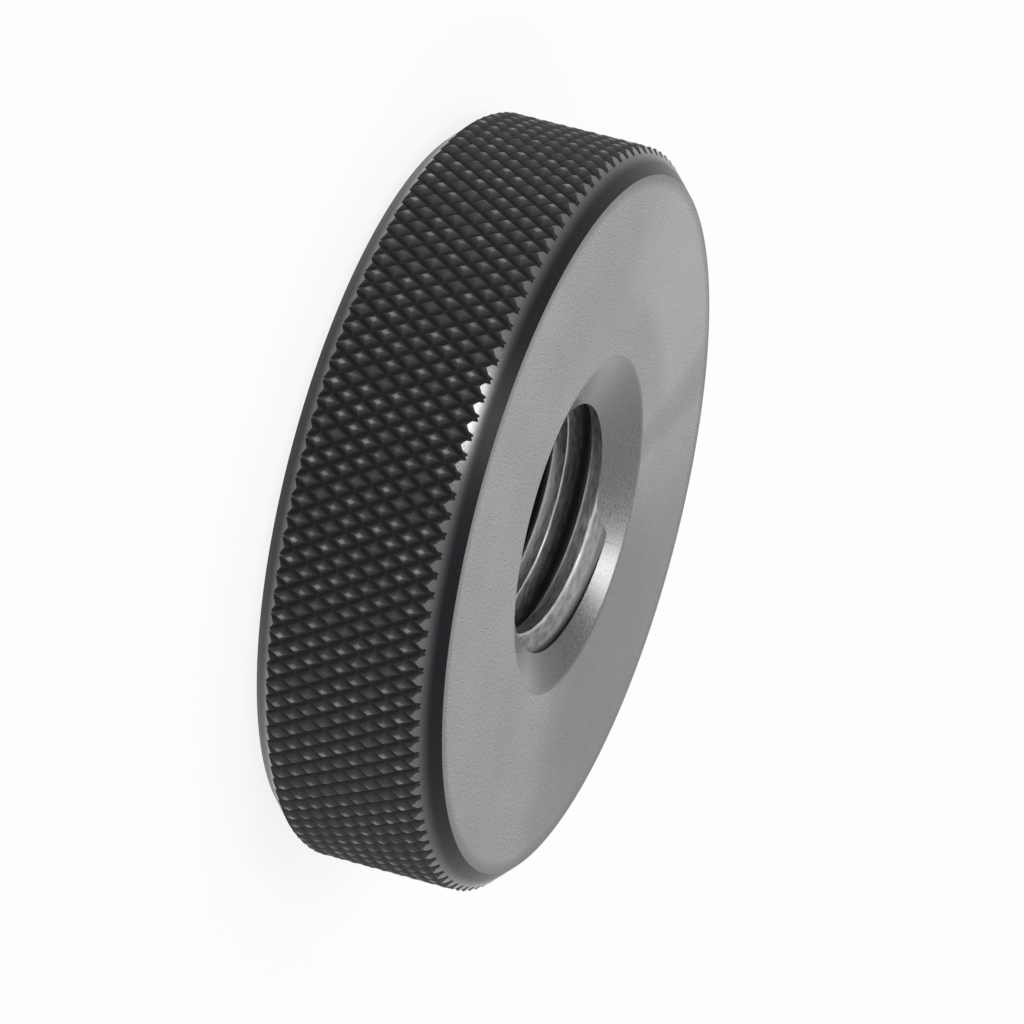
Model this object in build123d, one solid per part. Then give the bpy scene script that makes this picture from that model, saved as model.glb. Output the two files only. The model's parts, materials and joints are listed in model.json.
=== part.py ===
"""Solid thread ring gauge, in millimetres.

One turned ring of hardened steel: ground end faces, bevelled ends on a diamond-knurled rim, and a
right-hand threaded bore with a countersink at each mouth. It lies on its lower face with its axis
along +Z. The origin is the centre of the bore in the plane of the lower face.
"""
from build123d import *
from build123d import SkipClean
import os
from math import ceil, cos, floor, pi, radians, sin, tan

# Ring blank
outer_diameter = 38.0
width = 9.7
rim_bevel = 1.2
rim_bevel_angle = 45.0

# Threaded bore, metric coarse M14 x 2
thread_diameter = 14.0
thread_pitch = 2.0
thread_flank_angle = 60.0
thread_groove_height = 0.65
countersink_diameter = 17.0
countersink_angle = 133.0

# Diamond knurl on the rim
knurl_diamonds = 120
knurl_helix_angle = 32.0
knurl_depth = 0.38
knurl_row_below_top = 1.04

# How far cutting shapes run past the surfaces that they cut
overrun = 1.0
groove_overlap = 0.15

outer_radius = outer_diameter / 2
bevel_radial = rim_bevel * tan(radians(rim_bevel_angle))

# The basic thread triangle is cut off a quarter of its height at the crest, which leaves a flat of a
# quarter of the pitch. The groove keeps the triangle's sharp root, an eighth of the height past the
# thread's diameter, as the clearance that a gauge has there.
half_flank_slope = tan(radians(thread_flank_angle / 2))
thread_triangle = thread_pitch / 2 / half_flank_slope
crest_radius = thread_diameter / 2 - thread_triangle * 5 / 8
groove_depth = thread_triangle * 3 / 4
groove_mouth_half = thread_pitch * 3 / 8

countersink_radius = countersink_diameter / 2
countersink_slope = tan(radians(countersink_angle / 2))
countersink_depth = (countersink_radius - crest_radius) / countersink_slope

# Two crossing sets of helical grooves leave staggered rows of four-sided points, a half pitch apart.
knurl_floor_radius = outer_radius - knurl_depth
knurl_pitch_round = pi * outer_diameter / knurl_diamonds
knurl_row_spacing = knurl_pitch_round / 2 / tan(radians(knurl_helix_angle))


def rim_point(radius, pitches_round, height):
    """A point on the rim, placed round it by a number of knurl pitches."""
    angle = 2 * pi * pitches_round / knurl_diamonds
    return Vector(radius * cos(angle), radius * sin(angle), height)


def flat(*corners):
    """A flat face with straight edges."""
    return Face(Wire.make_polygon(corners, close=True))


def row_height(row):
    """Height of a row of knurl tips, counted downwards from the row nearest the upper face."""
    return width - knurl_row_below_top - row * knurl_row_spacing


def row_offset(row):
    """Every other row, the first one included, is shifted round by half a pitch."""
    return 0.5 * ((row + 1) % 2)


def knurl_point(row, column):
    """The four facets of one point: the tip, and its corners where the grooves cross."""
    middle = column + row_offset(row)
    height = row_height(row)
    tip = rim_point(outer_radius, middle, height)
    corners = [
        rim_point(knurl_floor_radius, middle - 0.5, height),
        rim_point(knurl_floor_radius, middle, height - knurl_row_spacing),
        rim_point(knurl_floor_radius, middle + 0.5, height),
        rim_point(knurl_floor_radius, middle, height + knurl_row_spacing),
    ]
    return [flat(tip, corners[side], corners[(side + 1) % 4]) for side in range(4)]


def knurl_end(row, towards):
    """The flat end of the knurled drum past an outermost row, and the gaps between its points."""
    height = row_height(row) + towards * knurl_row_spacing
    middles = [column + row_offset(row) for column in range(knurl_diamonds)]
    corners = [rim_point(knurl_floor_radius, middle, height) for middle in middles]
    gaps = [
        flat(
            rim_point(knurl_floor_radius, middle, height),
            rim_point(knurl_floor_radius, middle + 0.5, row_height(row)),
            rim_point(knurl_floor_radius, middle + 1, height),
        )
        for middle in middles
    ]
    return [flat(*corners)] + gaps


def knurled_drum():
    """A solid drum with the knurl all over its rim, longer than the ring at both ends."""
    first_row = floor(-knurl_row_below_top / knurl_row_spacing)
    last_row = ceil((width - knurl_row_below_top) / knurl_row_spacing)
    faces = knurl_end(first_row, 1) + knurl_end(last_row, -1)
    for row in range(first_row, last_row + 1):
        for column in range(knurl_diamonds):
            faces += knurl_point(row, column)
    return Solid(Shell(faces))


def bevelled_blank():
    """The plain blank with a bevel at both ends, wider than the knurl in the middle.

    Each bevel is one narrow flat per knurl pitch. The flats stay within 0.007 mm of the true cone.
    """
    face_radius = outer_radius - bevel_radial
    wide_radius = outer_radius + overrun
    wide_height = (wide_radius - face_radius) / tan(radians(rim_bevel_angle))
    outline = [
        (face_radius, 0),
        (wide_radius, wide_height),
        (wide_radius, width - wide_height),
        (face_radius, width),
    ]
    columns = range(knurl_diamonds)
    rings = [[rim_point(radius, column, height) for column in columns] for radius, height in outline]
    faces = [flat(*rings[0]), flat(*rings[-1])]
    for lower, upper in zip(rings, rings[1:]):
        for column in columns:
            faces.append(flat(lower[column - 1], lower[column], upper[column], upper[column - 1]))
    return Solid(Shell(faces))


def bore_quarter(quarter):
    """A quarter turn of the bore at its crest radius, with the countersinks of both mouths."""
    mouth_radius = countersink_radius + overrun * countersink_slope
    with BuildPart() as bore:
        with BuildSketch(Plane.XZ):
            with BuildLine():
                Polyline(
                    (0, -overrun),
                    (mouth_radius, -overrun),
                    (crest_radius, countersink_depth),
                    (crest_radius, width - countersink_depth),
                    (mouth_radius, width + overrun),
                    (0, width + overrun),
                    close=True,
                )
            make_face()
        revolve(axis=Axis.Z, revolution_arc=90)
    return bore.part.rotate(Axis.Z, 90 * quarter)


def groove_arc(start_height, quarter):
    """A quarter turn of the thread's groove, which rises a quarter of the pitch on its way."""
    helix = Helix(
        pitch=thread_pitch,
        height=thread_pitch / 4,
        radius=crest_radius,
        center=(0, 0, start_height),
    )
    mouth_half = groove_mouth_half + groove_overlap * half_flank_slope
    section_plane = Plane((crest_radius, 0, start_height), x_dir=(1, 0, 0), z_dir=(0, -1, 0))
    with BuildSketch(section_plane) as section:
        with BuildLine():
            Polyline(
                (-groove_overlap, -mouth_half),
                (-groove_overlap, mouth_half),
                (groove_depth, 0),
                close=True,
            )
        make_face()
    return sweep(section.sketch, path=helix, is_frenet=True).rotate(Axis.Z, 90 * quarter)


def thread_groove():
    """The right-hand groove in quarter turns, from below the lower face to above the upper one."""
    turns_below = floor(thread_groove_height / thread_pitch) + 2
    start = thread_groove_height - turns_below * thread_pitch
    quarters = 4 * ceil((width - start) / thread_pitch + 1)
    return [groove_arc(start + count * thread_pitch / 4, count % 4) for count in range(quarters)]


def ring_gauge():
    """The whole ring. The seams between the quarters of the bore stay as drawn."""
    bore = [bore_quarter(quarter) for quarter in range(4)]
    with SkipClean():
        threaded = bevelled_blank() - (bore + thread_groove())
        return threaded & knurled_drum()


os.makedirs("parts", exist_ok=True)
ring = ring_gauge()
export_step(ring, "parts/ring_gauge.step")
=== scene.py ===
"""Looks of the thread ring gauge: a fine mesh of the ring, its steel, and a plain white studio.

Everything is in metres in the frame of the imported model: the ring lies on its lower face, +Z runs
along the bore, and the origin is the centre of the bore on the lower face.
"""

import json
import math

import bmesh
import bpy
from mathutils import Matrix, Vector


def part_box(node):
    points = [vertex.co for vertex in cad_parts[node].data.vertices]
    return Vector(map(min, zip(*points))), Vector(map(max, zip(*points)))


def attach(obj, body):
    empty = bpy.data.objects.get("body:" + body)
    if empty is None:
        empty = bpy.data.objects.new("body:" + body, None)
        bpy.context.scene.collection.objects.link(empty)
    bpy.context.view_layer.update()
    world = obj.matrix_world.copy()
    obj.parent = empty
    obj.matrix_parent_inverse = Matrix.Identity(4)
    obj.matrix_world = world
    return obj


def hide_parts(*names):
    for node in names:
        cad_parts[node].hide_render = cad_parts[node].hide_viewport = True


MM = 0.001

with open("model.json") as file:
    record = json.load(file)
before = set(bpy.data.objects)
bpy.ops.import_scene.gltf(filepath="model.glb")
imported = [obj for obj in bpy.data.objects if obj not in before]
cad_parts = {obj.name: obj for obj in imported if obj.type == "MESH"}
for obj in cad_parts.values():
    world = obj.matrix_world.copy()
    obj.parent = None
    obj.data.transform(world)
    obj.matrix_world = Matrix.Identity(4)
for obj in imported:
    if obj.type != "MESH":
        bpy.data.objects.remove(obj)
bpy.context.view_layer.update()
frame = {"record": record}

# Sizes of the ring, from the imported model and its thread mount
NODE = "ring_gauge"
low_corner, high_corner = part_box(NODE)
OUTER_RADIUS = (high_corner.x - low_corner.x) / 2
WIDTH = high_corner.z - low_corner.z
THREAD_MOUNT = next(m for m in frame["record"]["mounts"] if m["name"] == "thread")
CREST_RADIUS = THREAD_MOUNT["dims"]["r_mm"] * MM

# Sizes of the ring that the frame doesn't state
BEVEL = 1.2 * MM
THREAD_PITCH = 2.0 * MM
GROOVE_ROOT_RADIUS = 7.2165 * MM
GROOVE_HEIGHT = 0.65 * MM
COUNTERSINK_RADIUS = 8.5 * MM
COUNTERSINK_HALF_ANGLE = math.radians(66.5)
KNURL_DIAMONDS = 120
KNURL_HELIX = math.radians(32)
KNURL_DEPTH = 0.38 * MM
KNURL_BELOW_TOP = 1.04 * MM

KNURL_FLOOR = OUTER_RADIUS - KNURL_DEPTH
KNURL_ROW = math.pi * OUTER_RADIUS / KNURL_DIAMONDS / math.tan(KNURL_HELIX)
FACE_RADIUS = OUTER_RADIUS - BEVEL

# Round edges of the faces: broken at the bevels, and worn at the countersinks
BEVEL_EDGE_RADIUS = 0.05 * MM
BEVEL_EDGE_POINTS = 3
COUNTERSINK_EDGE_RADIUS = 0.7 * MM
COUNTERSINK_EDGE_POINTS = 4

# Fineness of the mesh
BLANK_STEPS = 420
COUNTERSINK_STEPS = 300
THREAD_STEPS = 180
SHARP_ANGLE = math.radians(18)
WELD = 0.0002 * MM

# How far cutting shapes run past the surfaces that they cut
OVERRUN = 0.5 * MM


def polar(radius, angle, height):
    """A point at a distance from the axis, turned round it by an angle."""
    return radius * math.cos(angle), radius * math.sin(angle), height


def mesh_object(name, bm, material):
    """A new object from a bmesh, with one material on all its faces."""
    bm.normal_update()
    mesh = bpy.data.meshes.new(name)
    bm.to_mesh(mesh)
    bm.free()
    mesh.materials.append(material)
    piece = bpy.data.objects.new(name, mesh)
    bpy.context.scene.collection.objects.link(piece)
    return piece


def close_ends(bm, low_z, high_z):
    """Closes the open loops of a drum with fans to two points on the axis."""
    middle = (low_z + high_z) / 2
    ends = {False: bm.verts.new((0, 0, low_z)), True: bm.verts.new((0, 0, high_z))}
    rim = [edge for edge in bm.edges if edge.is_boundary]
    for edge in rim:
        first, second = edge.verts
        upper = (first.co.z + second.co.z) / 2 > middle
        bm.faces.new((first, second, ends[upper]))
    bmesh.ops.recalc_face_normals(bm, faces=bm.faces[:])


# Knurl

# Across one diamond, from groove to groove: share of the way, and height as a share of the depth.
# The tip is slightly blunted.
KNURL_SECTION = (
    (0.00, 0.00),
    (0.04, 0.05),
    (0.30, 0.74),
    (0.38, 0.93),
    (0.50, 1.00),
    (0.62, 0.93),
    (0.70, 0.74),
    (0.96, 0.05),
)

# Rows are counted downwards from the one nearest the upper face. The drum has spare ones above and
# below the ring.
SPARE_ROWS_ABOVE = 2
SPARE_ROWS_BELOW = 1


def knurl_height(across_first, across_second):
    """Height of the rim in a diamond: the lower of the two grooves' sections decides."""
    return min(KNURL_SECTION[across_first][1], KNURL_SECTION[across_second][1])


def knurl_drum(material):
    """The knurled rim as a closed drum, longer than the ring at both ends."""
    steps = len(KNURL_SECTION)
    pitch_angle = 2 * math.pi / KNURL_DIAMONDS
    rows_below_first = math.ceil((WIDTH - KNURL_BELOW_TOP) / KNURL_ROW)
    bm = bmesh.new()
    verts = {}

    def vert(first, second):
        """The vertex at a place on the two families of grooves, counted in steps."""
        turn = KNURL_DIAMONDS * steps
        turns = (first + second) // (2 * turn)
        key = (first - turns * turn, second - turns * turn)
        if key not in verts:
            cell_first, step_first = divmod(key[0], steps)
            cell_second, step_second = divmod(key[1], steps)
            along_first = cell_first + KNURL_SECTION[step_first][0] - 0.5
            along_second = cell_second + KNURL_SECTION[step_second][0] - 0.5
            angle = (along_first + along_second + 1) / 2 * pitch_angle
            height = WIDTH - KNURL_BELOW_TOP + (along_second - along_first) * KNURL_ROW
            radius = KNURL_FLOOR + KNURL_DEPTH * knurl_height(step_first, step_second)
            verts[key] = bm.verts.new(polar(radius, angle, height))
        return verts[key]

    for row in range(-SPARE_ROWS_ABOVE, rows_below_first + SPARE_ROWS_BELOW + 1):
        for column in range(KNURL_DIAMONDS):
            for first_step in range(steps):
                for second_step in range(steps):
                    first = column * steps + first_step
                    second = (column - row) * steps + second_step
                    corners = (
                        vert(first, second),
                        vert(first + 1, second),
                        vert(first + 1, second + 1),
                        vert(first, second + 1),
                    )
                    if first_step == second_step:
                        bm.faces.new((corners[0], corners[1], corners[2]))
                        bm.faces.new((corners[0], corners[2], corners[3]))
                    else:
                        bm.faces.new((corners[0], corners[1], corners[3]))
                        bm.faces.new((corners[1], corners[2], corners[3]))
    # The points of the end fans lie far enough out to keep the fans clear of the ring
    close_ends(bm, -2 * WIDTH, 3 * WIDTH)
    return mesh_object("knurl_drum", bm, material)


# Turned surfaces

# A turned face whose normal has at least this share of its length along the axis is an end face
END_FACE_NORMAL = 0.9

# How far the last chord of a countersink's round edge runs on, as a share of its length
CHORD_OVERRUN = 0.2


def turned(name, outline, material, steps):
    """A closed solid turned about the Z axis. The outline runs from axis to axis."""
    bm = bmesh.new()
    angles = [2 * math.pi * step / steps for step in range(steps)]
    rings = []
    for radius, height in outline:
        if radius == 0:
            rings.append([bm.verts.new((0, 0, height))] * steps)
        else:
            rings.append([bm.verts.new(polar(radius, angle, height)) for angle in angles])
    for lower, upper in zip(rings, rings[1:]):
        for step in range(steps):
            after = (step + 1) % steps
            corners = [lower[step], lower[after], upper[after], upper[step]]
            # On the axis two corners are the same vertex, and the face is a triangle
            bm.faces.new(list(dict.fromkeys(corners)))
    bmesh.ops.recalc_face_normals(bm, faces=bm.faces[:])
    return mesh_object(name, bm, material)


def rounded(before, corner, after, radius, points):
    """Points of a small arc that rounds off a corner of an outline."""
    corner = Vector(corner)
    towards_before = (Vector(before) - corner).normalized()
    towards_after = (Vector(after) - corner).normalized()
    half = towards_before.angle(towards_after) / 2
    setback = radius / math.tan(half)
    centre = corner + (towards_before + towards_after).normalized() * radius / math.sin(half)
    start = corner + towards_before * setback - centre
    turn = (corner + towards_after * setback - centre).angle_signed(start)
    arc = []
    for point in range(points):
        share = point / (points - 1)
        arc.append(tuple(centre + Matrix.Rotation(turn * share, 2) @ start))
    return arc


def turned_blank(face_material, bevel_material):
    """The blank between its ground faces and bevels, wider than the knurl in the middle."""
    past = OUTER_RADIUS + OVERRUN
    rise = BEVEL + OVERRUN
    lower_edge = rounded(
        (0, 0), (FACE_RADIUS, 0), (past, rise), BEVEL_EDGE_RADIUS, BEVEL_EDGE_POINTS
    )
    upper_edge = rounded(
        (past, WIDTH - rise), (FACE_RADIUS, WIDTH), (0, WIDTH), BEVEL_EDGE_RADIUS, BEVEL_EDGE_POINTS
    )
    middle = [(past, rise), (past, WIDTH - rise)]
    outline = [(0, 0)] + lower_edge + middle + upper_edge + [(0, WIDTH)]
    blank = turned("blank", outline, bevel_material, BLANK_STEPS)
    blank.data.materials.append(face_material)
    for polygon in blank.data.polygons:
        if abs(polygon.normal.z) > END_FACE_NORMAL:
            polygon.material_index = 1
    return blank


def countersink(material, at_top):
    """The cone that opens one mouth of the bore, its edge worn round where it meets the face."""
    tip_radius = CREST_RADIUS - OVERRUN
    depth = (COUNTERSINK_RADIUS - tip_radius) / math.tan(COUNTERSINK_HALF_ANGLE)
    tip = (tip_radius, -depth)
    corner = (COUNTERSINK_RADIUS, 0)
    edge = rounded(
        tip, corner, (OUTER_RADIUS, 0), COUNTERSINK_EDGE_RADIUS, COUNTERSINK_EDGE_POINTS
    )
    # The last chord runs on through the face, so that no part of the cut lies in the face's plane
    last_chord = Vector(edge[-1]) - Vector(edge[-2])
    mouth = tuple(Vector(edge[-1]) + last_chord * CHORD_OVERRUN)
    outline = [(0, -depth), tip] + edge[:-1] + [mouth, (mouth[0], OVERRUN), (0, OVERRUN)]
    if at_top:
        placed = [(radius, WIDTH + height) for radius, height in outline]
    else:
        placed = [(radius, -height) for radius, height in reversed(outline)]
    return turned("countersink", placed, material, COUNTERSINK_STEPS)


# Thread

# Across one pitch of the thread from the middle of its groove: share of the pitch, and depth below
# the crest as a share of the groove's depth. The root and the edges of the crest are slightly
# rounded, and the crest is a little wider than in the basic profile.
THREAD_SECTION = (
    (0.000, 0.975),
    (0.014, 0.955),
    (0.284, 0.104),
    (0.300, 0.060),
    (0.317, 0.027),
    (0.337, 0.007),
    (0.362, 0.000),
    (0.638, 0.000),
    (0.663, 0.007),
    (0.683, 0.027),
    (0.700, 0.060),
    (0.716, 0.104),
    (0.986, 0.955),
)

# The tap has spare turns below and above the ring
SPARE_TURNS_BELOW = 2
SPARE_TURNS_ABOVE = 1


def thread_tap(material):
    """A closed screw that fills the bore and its groove, longer than the ring at both ends."""
    steps = len(THREAD_SECTION)
    start = GROOVE_HEIGHT - SPARE_TURNS_BELOW * THREAD_PITCH
    turns = math.ceil((WIDTH - start) / THREAD_PITCH) + SPARE_TURNS_ABOVE
    bm = bmesh.new()
    verts = {}

    def vert(column, step):
        """The vertex of a column and a step, where a whole section up is one turn on."""
        key = (column + THREAD_STEPS * (step // steps), step % steps)
        if key not in verts:
            share, depth = THREAD_SECTION[key[1]]
            angle = 2 * math.pi * key[0] / THREAD_STEPS
            radius = CREST_RADIUS + (GROOVE_ROOT_RADIUS - CREST_RADIUS) * depth
            rise = start + THREAD_PITCH * key[0] / THREAD_STEPS
            verts[key] = bm.verts.new(polar(radius, angle, rise + THREAD_PITCH * share))
        return verts[key]

    for column in range(turns * THREAD_STEPS):
        for step in range(steps):
            bm.faces.new(
                (
                    vert(column, step),
                    vert(column + 1, step),
                    vert(column + 1, step + 1),
                    vert(column, step + 1),
                )
            )
    close_ends(bm, start + THREAD_PITCH / 2, start + THREAD_PITCH * (turns + 0.5))
    return mesh_object("thread_tap", bm, material)


# Materials

# Most values of a noise lie between these two
NOISE_LOW = 0.3
NOISE_HIGH = 0.7


class Nodes:
    """A material's nodes, made with short calls."""

    def __init__(self, name):
        self.material = bpy.data.materials.new(name)
        self.material.use_nodes = True
        self.tree = self.material.node_tree
        self.shader = self.tree.nodes["Principled BSDF"]
        self.place = self.tree.nodes.new("ShaderNodeTexCoord").outputs["Object"]

    def link(self, source, target):
        """Links an output to an input."""
        self.tree.links.new(source, target)

    def calculate(self, operation, first, second=None):
        """A maths node on sockets or numbers."""
        node = self.tree.nodes.new("ShaderNodeMath")
        node.operation = operation
        for socket, value in zip(node.inputs, (first, second)):
            if isinstance(value, (int, float)):
                socket.default_value = value
            elif value is not None:
                self.link(value, socket)
        return node.outputs[0]

    def times(self, first, second):
        """The product of two sockets or numbers."""
        return self.calculate("MULTIPLY", first, second)

    def total(self, first, *others):
        """A sum of sockets or numbers."""
        for other in others:
            first = self.calculate("ADD", first, other)
        return first

    def remap(self, value, low, high, to_low=0.0, to_high=1.0, smooth=False):
        """A clamped map of a value from one range to another."""
        node = self.tree.nodes.new("ShaderNodeMapRange")
        node.interpolation_type = "SMOOTHSTEP" if smooth else "LINEAR"
        self.link(value, node.inputs["Value"])
        node.inputs["From Min"].default_value = low
        node.inputs["From Max"].default_value = high
        node.inputs["To Min"].default_value = to_low
        node.inputs["To Max"].default_value = to_high
        return node.outputs["Result"]

    def noise(self, size, detail, stretch=None):
        """Noise whose patches are about the given size in metres."""
        node = self.tree.nodes.new("ShaderNodeTexNoise")
        node.inputs["Scale"].default_value = 1 / size
        node.inputs["Detail"].default_value = detail
        place = self.place
        if stretch is not None:
            mapping = self.tree.nodes.new("ShaderNodeMapping")
            mapping.inputs["Scale"].default_value = stretch
            self.link(place, mapping.inputs["Vector"])
            place = mapping.outputs["Vector"]
        self.link(place, node.inputs["Vector"])
        return node.outputs["Fac"]

    def spread(self, noise, low=0.0, high=1.0):
        """A noise spread over a whole range."""
        return self.remap(noise, NOISE_LOW, NOISE_HIGH, low, high)

    def swing(self, noise, size):
        """A noise that swings round 0 by up to half of the given size."""
        return self.times(self.calculate("SUBTRACT", noise, 0.5), size)

    def split(self):
        """The X, Y and Z of the place on the piece."""
        node = self.tree.nodes.new("ShaderNodeSeparateXYZ")
        self.link(self.place, node.inputs[0])
        return node.outputs[0], node.outputs[1], node.outputs[2]

    def radius(self):
        """Distance from the ring's axis."""
        x, y, _ = self.split()
        return self.calculate("SQRT", self.total(self.times(x, x), self.times(y, y)))

    def sector(self, middle, half_width):
        """1 in the middle of a sector round the axis, falling smoothly to 0. Angles in degrees."""
        x, y, _ = self.split()
        middle = math.radians(middle)
        along = self.total(self.times(x, math.cos(middle)), self.times(y, math.sin(middle)))
        cosine = self.calculate("DIVIDE", along, self.radius())
        return self.remap(cosine, math.cos(math.radians(half_width)), 1.0, smooth=True)

    def mix(self, share, first, second):
        """A mix of two colours, which may be sockets or numbers."""
        node = self.tree.nodes.new("ShaderNodeMix")
        node.data_type = "RGBA"
        self.link(share, node.inputs["Factor"])
        # The sockets of a Mix node share their names, and 6 and 7 are its two colours
        for socket, value in ((node.inputs[6], first), (node.inputs[7], second)):
            if isinstance(value, tuple):
                socket.default_value = (*value, 1.0)
            else:
                self.link(value, socket)
        return node.outputs[2]

    def bump(self, height, strength, depth):
        """A bump from a height between 0 and 1, with its full depth in metres."""
        node = self.tree.nodes.new("ShaderNodeBump")
        node.inputs["Strength"].default_value = strength
        node.inputs["Distance"].default_value = depth
        self.link(height, node.inputs["Height"])
        self.link(node.outputs["Normal"], self.shader.inputs["Normal"])

    def finish(self, colour, roughness, metallic=1.0, specular=0.5):
        """Sets the shader's own sockets. Metallic may be a socket or a number."""
        self.link(colour, self.shader.inputs["Base Color"])
        self.link(roughness, self.shader.inputs["Roughness"])
        if isinstance(metallic, float):
            self.shader.inputs["Metallic"].default_value = metallic
        else:
            self.link(metallic, self.shader.inputs["Metallic"])
        self.shader.inputs["Specular IOR Level"].default_value = specular
        return self.material


def ground_steel():
    """Ground and lapped end faces: mid grey, with a fine grain and lapping clouds, a painted sheen
    in one sector, painted shade in another sector and at the outer edge, and a narrow darker
    streak.
    """
    n = Nodes("ground_steel")
    grain = n.noise(0.10 * MM, detail=1.0)
    clouds = n.noise(4.0 * MM, detail=3.0)
    radius = n.radius()
    outer_part = n.remap(radius, 10.5 * MM, 12.5 * MM, smooth=True)
    # Painted sheen: a lighter patch in one sector of the face's outer part
    painted_sheen_patch = n.times(n.sector(middle=153, half_width=38), outer_part)
    # Painted shade: one sector of the face darker
    painted_shade_side = n.sector(middle=60, half_width=55)
    dark_streak = n.sector(middle=122, half_width=7)
    # Painted shade: the face darkens over its outer 0.8 mm, up to the edge
    painted_edge_shade = n.remap(radius, FACE_RADIUS - 0.8 * MM, FACE_RADIUS, 0.0, -0.70, smooth=True)
    plain_shade = 0.51
    shade = n.total(
        plain_shade,
        n.times(painted_sheen_patch, 0.33),
        n.times(painted_shade_side, -0.52),
        n.times(dark_streak, -0.22),
        painted_edge_shade,
        n.swing(clouds, 0.40),
        n.swing(grain, 3.00),
    )
    darkest = (0.152, 0.151, 0.150)
    lightest = (0.338, 0.335, 0.329)
    n.bump(grain, strength=0.25, depth=0.01 * MM)
    return n.finish(
        colour=n.mix(n.remap(shade, 0.0, 1.0), darkest, lightest),
        roughness=n.spread(grain, 0.42, 0.54),
    )


def countersink_steel():
    """The turned cones at the mouths of the bore, with painted shade on one side."""
    n = Nodes("countersink_steel")
    mark_spacing = 0.09 * MM
    marks = n.calculate("SINE", n.times(n.radius(), 2 * math.pi / mark_spacing))
    grain = n.noise(0.11 * MM, detail=2.0)
    # Painted shade: one side of the cone darker
    painted_shade_side = n.sector(middle=35, half_width=50)
    shade = n.total(n.spread(grain), n.times(painted_shade_side, -1.0))
    darkest = (0.065, 0.066, 0.068)
    lightest = (0.162, 0.163, 0.166)
    n.bump(n.total(n.times(marks, 0.3), grain), strength=0.15, depth=0.006 * MM)
    return n.finish(
        colour=n.mix(n.remap(shade, -1.0, 1.0), darkest, lightest),
        roughness=n.spread(grain, 0.23, 0.32),
    )


def thread_steel():
    """The lapped thread: light crests, partly painted highlight, matt flanks marked along the turn,
    and painted shade in the root.
    """
    n = Nodes("thread_steel")
    radius = n.radius()
    marks = n.noise(0.1 * MM, detail=2.0, stretch=(0.15, 0.15, 1.0))
    streaks = n.remap(marks, 0.32, 0.68)
    # Lighter crests and darker flanks: partly the lapped finish, partly painted highlight on the
    # crests and painted shade on the flanks
    crest = n.mix(streaks, (0.34, 0.34, 0.345), (0.52, 0.52, 0.525))
    flank = n.mix(streaks, (0.125, 0.125, 0.128), (0.255, 0.255, 0.258))
    # Painted shade: the root of the groove is darker
    painted_root_shade = (0.12, 0.12, 0.122)
    on_flank = n.remap(radius, CREST_RADIUS + 0.04 * MM, CREST_RADIUS + 0.16 * MM)
    in_root = n.remap(radius, CREST_RADIUS + 0.80 * MM, CREST_RADIUS + 1.05 * MM, smooth=True)
    matt = n.remap(radius, CREST_RADIUS + 0.06 * MM, CREST_RADIUS + 0.24 * MM, 0.0, 0.30)
    n.bump(marks, strength=0.3, depth=0.006 * MM)
    return n.finish(
        colour=n.mix(in_root, n.mix(on_flank, crest, flank), painted_root_shade),
        roughness=n.total(n.spread(marks, 0.26, 0.36), matt),
    )


def black_bevel():
    """Black-finished turned bevels, slightly blue, rubbed bare where they cut the knurl."""
    n = Nodes("black_bevel")
    grain = n.noise(0.12 * MM, detail=2.0)
    worn = n.remap(n.radius(), KNURL_FLOOR - 0.42 * MM, KNURL_FLOOR + 0.26 * MM, smooth=True)
    black = n.mix(n.spread(grain), (0.003, 0.004, 0.005), (0.008, 0.009, 0.012))
    bare = (0.14, 0.14, 0.145)
    n.bump(grain, strength=0.25, depth=0.008 * MM)
    return n.finish(
        colour=n.mix(worn, black, bare),
        roughness=n.total(n.spread(grain, 0.28, 0.36), n.times(worn, -0.12)),
        metallic=worn,
        specular=0.12,
    )


def black_knurl():
    """The black-finished knurl, rubbed bare on its tips, most of all in the rows near the ends,
    with painted shade towards the groove floors.
    """
    n = Nodes("black_knurl")
    height = n.remap(n.radius(), KNURL_FLOOR, OUTER_RADIUS)
    grain = n.noise(0.10 * MM, detail=2.0)
    worn = n.remap(n.total(height, n.times(grain, 0.10)), 0.80, 1.05, smooth=True)
    # Painted shade: the black darkens towards the groove floors
    black = n.mix(n.remap(height, 0.1, 0.9), (0.014, 0.015, 0.014), (0.056, 0.058, 0.057))

    half_width = WIDTH / 2
    _, _, z = n.split()
    from_middle = n.calculate("ABSOLUTE", n.calculate("SUBTRACT", z, half_width))
    end_wear = 0.35
    at_ends = n.remap(
        from_middle, half_width - 2.4 * MM, half_width - 1.2 * MM, 0.0, end_wear, smooth=True
    )
    patches = n.remap(n.noise(1.3 * MM, detail=1.0), 0.38, 0.62)
    wear = n.remap(n.total(patches, at_ends), 0.0, 1.0 + end_wear)
    tip = n.mix(wear, (0.060, 0.063, 0.061), (0.25, 0.255, 0.255))
    n.bump(grain, strength=0.3, depth=0.01 * MM)
    return n.finish(
        colour=n.mix(worn, black, tip),
        roughness=n.remap(worn, 0.0, 1.0, 0.60, 0.36),
        metallic=worn,
        specular=0.3,
    )


# The ring


def apply_boolean(piece, tool, operation):
    """Cuts a piece with a tool, keeps each face's own material and removes the tool."""
    cut = piece.modifiers.new("cut", "BOOLEAN")
    cut.object = tool
    cut.operation = operation
    cut.solver = "MANIFOLD"
    cut.material_mode = "TRANSFER"
    bpy.context.view_layer.update()
    evaluated = piece.evaluated_get(bpy.context.evaluated_depsgraph_get())
    mesh = bpy.data.meshes.new_from_object(evaluated)
    piece.modifiers.clear()
    piece.data = mesh
    bpy.data.objects.remove(tool)


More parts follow.
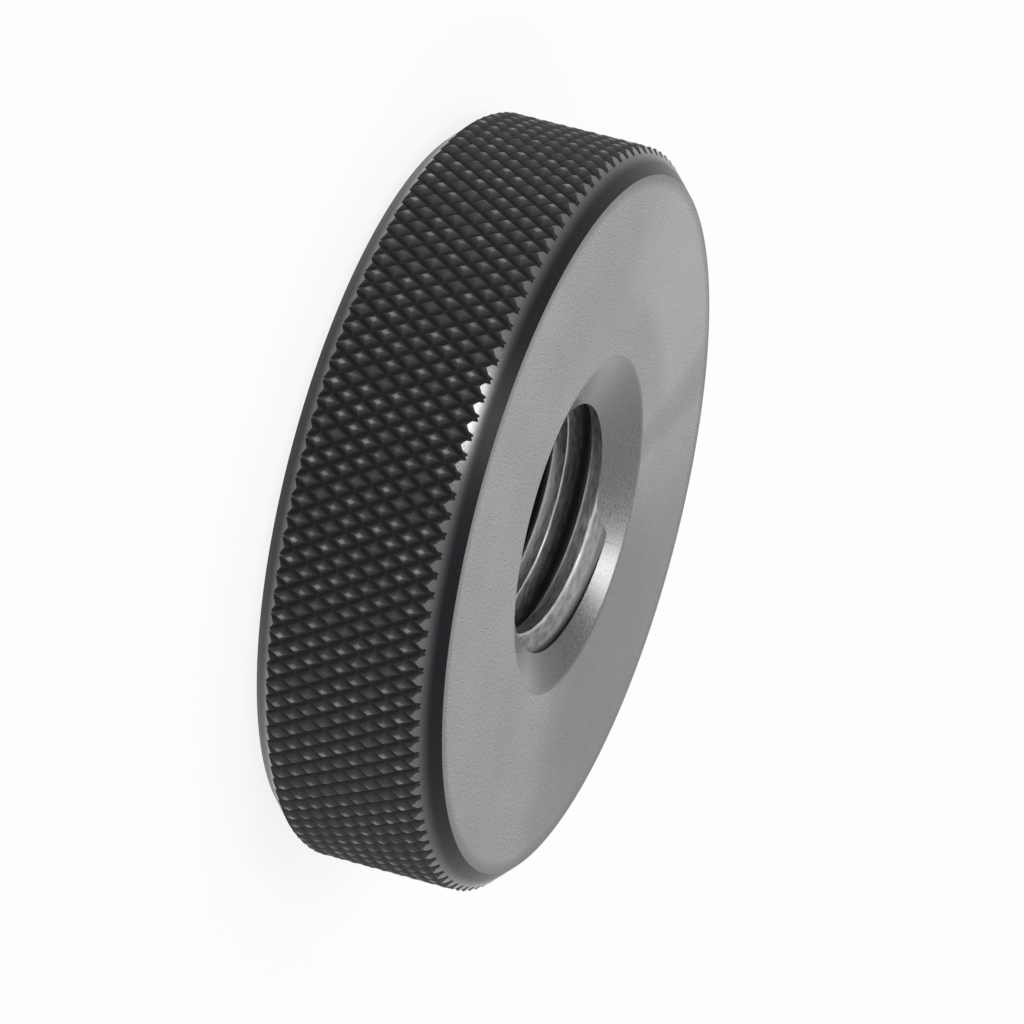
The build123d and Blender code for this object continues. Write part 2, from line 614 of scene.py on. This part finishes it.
def weld(mesh):
    """Joins corners that the cuts left a hair apart, and removes the faces without area there."""
    bm = bmesh.new()
    bm.from_mesh(mesh)
    bmesh.ops.remove_doubles(bm, verts=bm.verts[:], dist=WELD)
    bmesh.ops.dissolve_degenerate(bm, edges=bm.edges[:], dist=WELD)
    bmesh.ops.triangulate(bm, faces=[face for face in bm.faces if len(face.verts) > 4])
    bmesh.ops.dissolve_degenerate(bm, edges=bm.edges[:], dist=WELD)
    bm.to_mesh(mesh)
    bm.free()


def sharpen_between_materials(mesh):
    """Marks the edges where two materials meet as sharp, so that each keeps its own shading."""
    materials_at = {}
    for polygon in mesh.polygons:
        for key in polygon.edge_keys:
            materials_at.setdefault(key, set()).add(polygon.material_index)
    for edge in mesh.edges:
        if len(materials_at.get(tuple(sorted(edge.vertices)), ())) > 1:
            edge.use_edge_sharp = True


def ring_mesh():
    """One fine mesh of the whole ring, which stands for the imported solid."""
    ring = turned_blank(ground_steel(), black_bevel())
    apply_boolean(ring, knurl_drum(black_knurl()), "INTERSECT")
    apply_boolean(ring, thread_tap(thread_steel()), "DIFFERENCE")
    cone_steel = countersink_steel()
    for at_top in (True, False):
        apply_boolean(ring, countersink(cone_steel, at_top), "DIFFERENCE")
    weld(ring.data)
    ring.name = "ring"
    ring.data.name = "ring"
    ring.data.polygons.foreach_set("use_smooth", [True] * len(ring.data.polygons))
    ring.data.set_sharp_from_angle(angle=SHARP_ANGLE)
    sharpen_between_materials(ring.data)
    return ring


# Studio

FLOOR_SIZE = 4.0
FLOOR_GAP = 0.02 * MM
FLOOR_WHITENESS = 0.86
WORLD_LIGHT = 0.65


def seen_directly(tree):
    """1 on rays from the camera, from metal and through glass, 0 on rays that only bring light."""
    path = tree.nodes.new("ShaderNodeLightPath")
    share = path.outputs["Is Camera Ray"]
    for name in ("Is Glossy Ray", "Is Transmission Ray"):
        either = tree.nodes.new("ShaderNodeMath")
        either.operation = "MAXIMUM"
        tree.links.new(share, either.inputs[0])
        tree.links.new(path.outputs[name], either.inputs[1])
        share = either.outputs[0]
    return share


def scaled(tree, value, factor, offset=0.0):
    """A value times a factor plus an offset."""
    node = tree.nodes.new("ShaderNodeMath")
    node.operation = "MULTIPLY_ADD"
    tree.links.new(value, node.inputs[0])
    node.inputs[1].default_value = factor
    node.inputs[2].default_value = offset
    return node.outputs[0]


def plain_floor():
    """A large pale floor that shows white and keeps a faint shadow of the ring.

    It lies a hair below the ring, so that the two surfaces don't fall together.
    """
    bm = bmesh.new()
    bmesh.ops.create_grid(bm, x_segments=1, y_segments=1, size=FLOOR_SIZE / 2)
    bmesh.ops.translate(bm, verts=bm.verts[:], vec=(0, 0, -FLOOR_GAP))
    n = Nodes("pale_floor")
    n.shader.inputs["Base Color"].default_value = (0.9, 0.9, 0.9, 1)
    n.shader.inputs["Roughness"].default_value = 0.9
    white = n.tree.nodes.new("ShaderNodeEmission")
    white.inputs["Color"].default_value = (1, 1, 1, 1)
    white.inputs["Strength"].default_value = 1.0
    mix = n.tree.nodes.new("ShaderNodeMixShader")
    n.link(scaled(n.tree, seen_directly(n.tree), FLOOR_WHITENESS), mix.inputs[0])
    n.link(n.shader.outputs[0], mix.inputs[1])
    n.link(white.outputs[0], mix.inputs[2])
    n.link(mix.outputs[0], n.tree.nodes["Material Output"].inputs["Surface"])
    mesh_object("floor", bm, n.material)


def pale_world():
    """A pale world that shows as white behind the ring and in its reflections."""
    world = bpy.data.worlds.new("studio")
    world.use_nodes = True
    tree = world.node_tree
    background = tree.nodes["Background"]
    background.inputs["Color"].default_value = (1, 1, 1, 1)
    strength = scaled(tree, seen_directly(tree), 1 - WORLD_LIGHT, WORLD_LIGHT)
    tree.links.new(strength, background.inputs["Strength"])
    bpy.context.scene.world = world


def softbox(name, direction, along, distance, width, length, brightness):
    """A rectangular area light that faces the ring. A brightness of 1 looks white."""
    towards = Vector(direction).normalized()
    across = Vector(along).cross(towards).normalized()
    light = bpy.data.lights.new(name, "AREA")
    light.shape = "RECTANGLE"
    light.size = width
    light.size_y = length
    light.energy = brightness * math.pi * width * length
    lamp = bpy.data.objects.new(name, light)
    place = Vector((0, 0, WIDTH / 2)) + towards * distance
    turn = Matrix((across, towards.cross(across), towards)).transposed().to_4x4()
    lamp.matrix_world = Matrix.Translation(place) @ turn
    bpy.context.scene.collection.objects.link(lamp)


def softboxes():
    """The lamps: two above that graze the ring's edges and cones, and one low in front."""
    softbox(
        "over",
        direction=(-0.25, -0.20, 0.95),
        along=(0.2, 1, 0),
        distance=0.40,
        width=0.10,
        length=0.18,
        brightness=7.5,
    )
    softbox(
        "behind",
        direction=(-0.11, 0.50, 0.86),
        along=(0.2, 1, 0),
        distance=0.40,
        width=0.05,
        length=0.10,
        brightness=13.0,
    )
    softbox(
        "front",
        direction=(0.05, -0.98, 0.22),
        along=(1, 0, 0),
        distance=0.45,
        width=0.10,
        length=0.12,
        brightness=5.0,
    )


# Camera: from low over the upper face, turned so that the axis lies near the picture's horizontal.
# Its aim is given from the centre of the upper face, to the right and upwards in the picture.
VIEW_AZIMUTH = math.radians(-0.57)
VIEW_ELEVATION = math.radians(16.63)
VIEW_ROLL = math.radians(104.65)
VIEW_DISTANCE = 506.7 * MM
AIM_RIGHT = -3.31 * MM
AIM_UP = 0.66 * MM

# Blender takes the lens and the sensor in millimetres, and the clip distances in metres
VIEW_LENS = 360.9
SENSOR_WIDTH = 36
NEAREST = 0.01
FARTHEST = 20


def photo_camera():
    """The camera of the photo, at the same angle and distance."""
    level = math.cos(VIEW_ELEVATION)
    back = Vector(
        (math.sin(VIEW_AZIMUTH) * level, -math.cos(VIEW_AZIMUTH) * level, math.sin(VIEW_ELEVATION))
    )
    level_right = Vector((math.cos(VIEW_AZIMUTH), math.sin(VIEW_AZIMUTH), 0))
    level_up = back.cross(level_right)
    right = level_right * math.cos(VIEW_ROLL) + level_up * math.sin(VIEW_ROLL)
    up = back.cross(right)
    aim = Vector((0, 0, WIDTH)) + right * AIM_RIGHT + up * AIM_UP
    data = bpy.data.cameras.new("camera")
    data.lens = VIEW_LENS
    data.sensor_width = SENSOR_WIDTH
    data.clip_start = NEAREST
    data.clip_end = FARTHEST
    camera = bpy.data.objects.new("camera", data)
    turn = Matrix((right, up, back)).transposed().to_4x4()
    camera.matrix_world = Matrix.Translation(aim + back * VIEW_DISTANCE) @ turn
    bpy.context.scene.collection.objects.link(camera)
    bpy.context.scene.camera = camera


ring = ring_mesh()
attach(ring, "root")
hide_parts(NODE)

plain_floor()
pale_world()
softboxes()
photo_camera()

bpy.context.scene.view_settings.view_transform = "Standard"
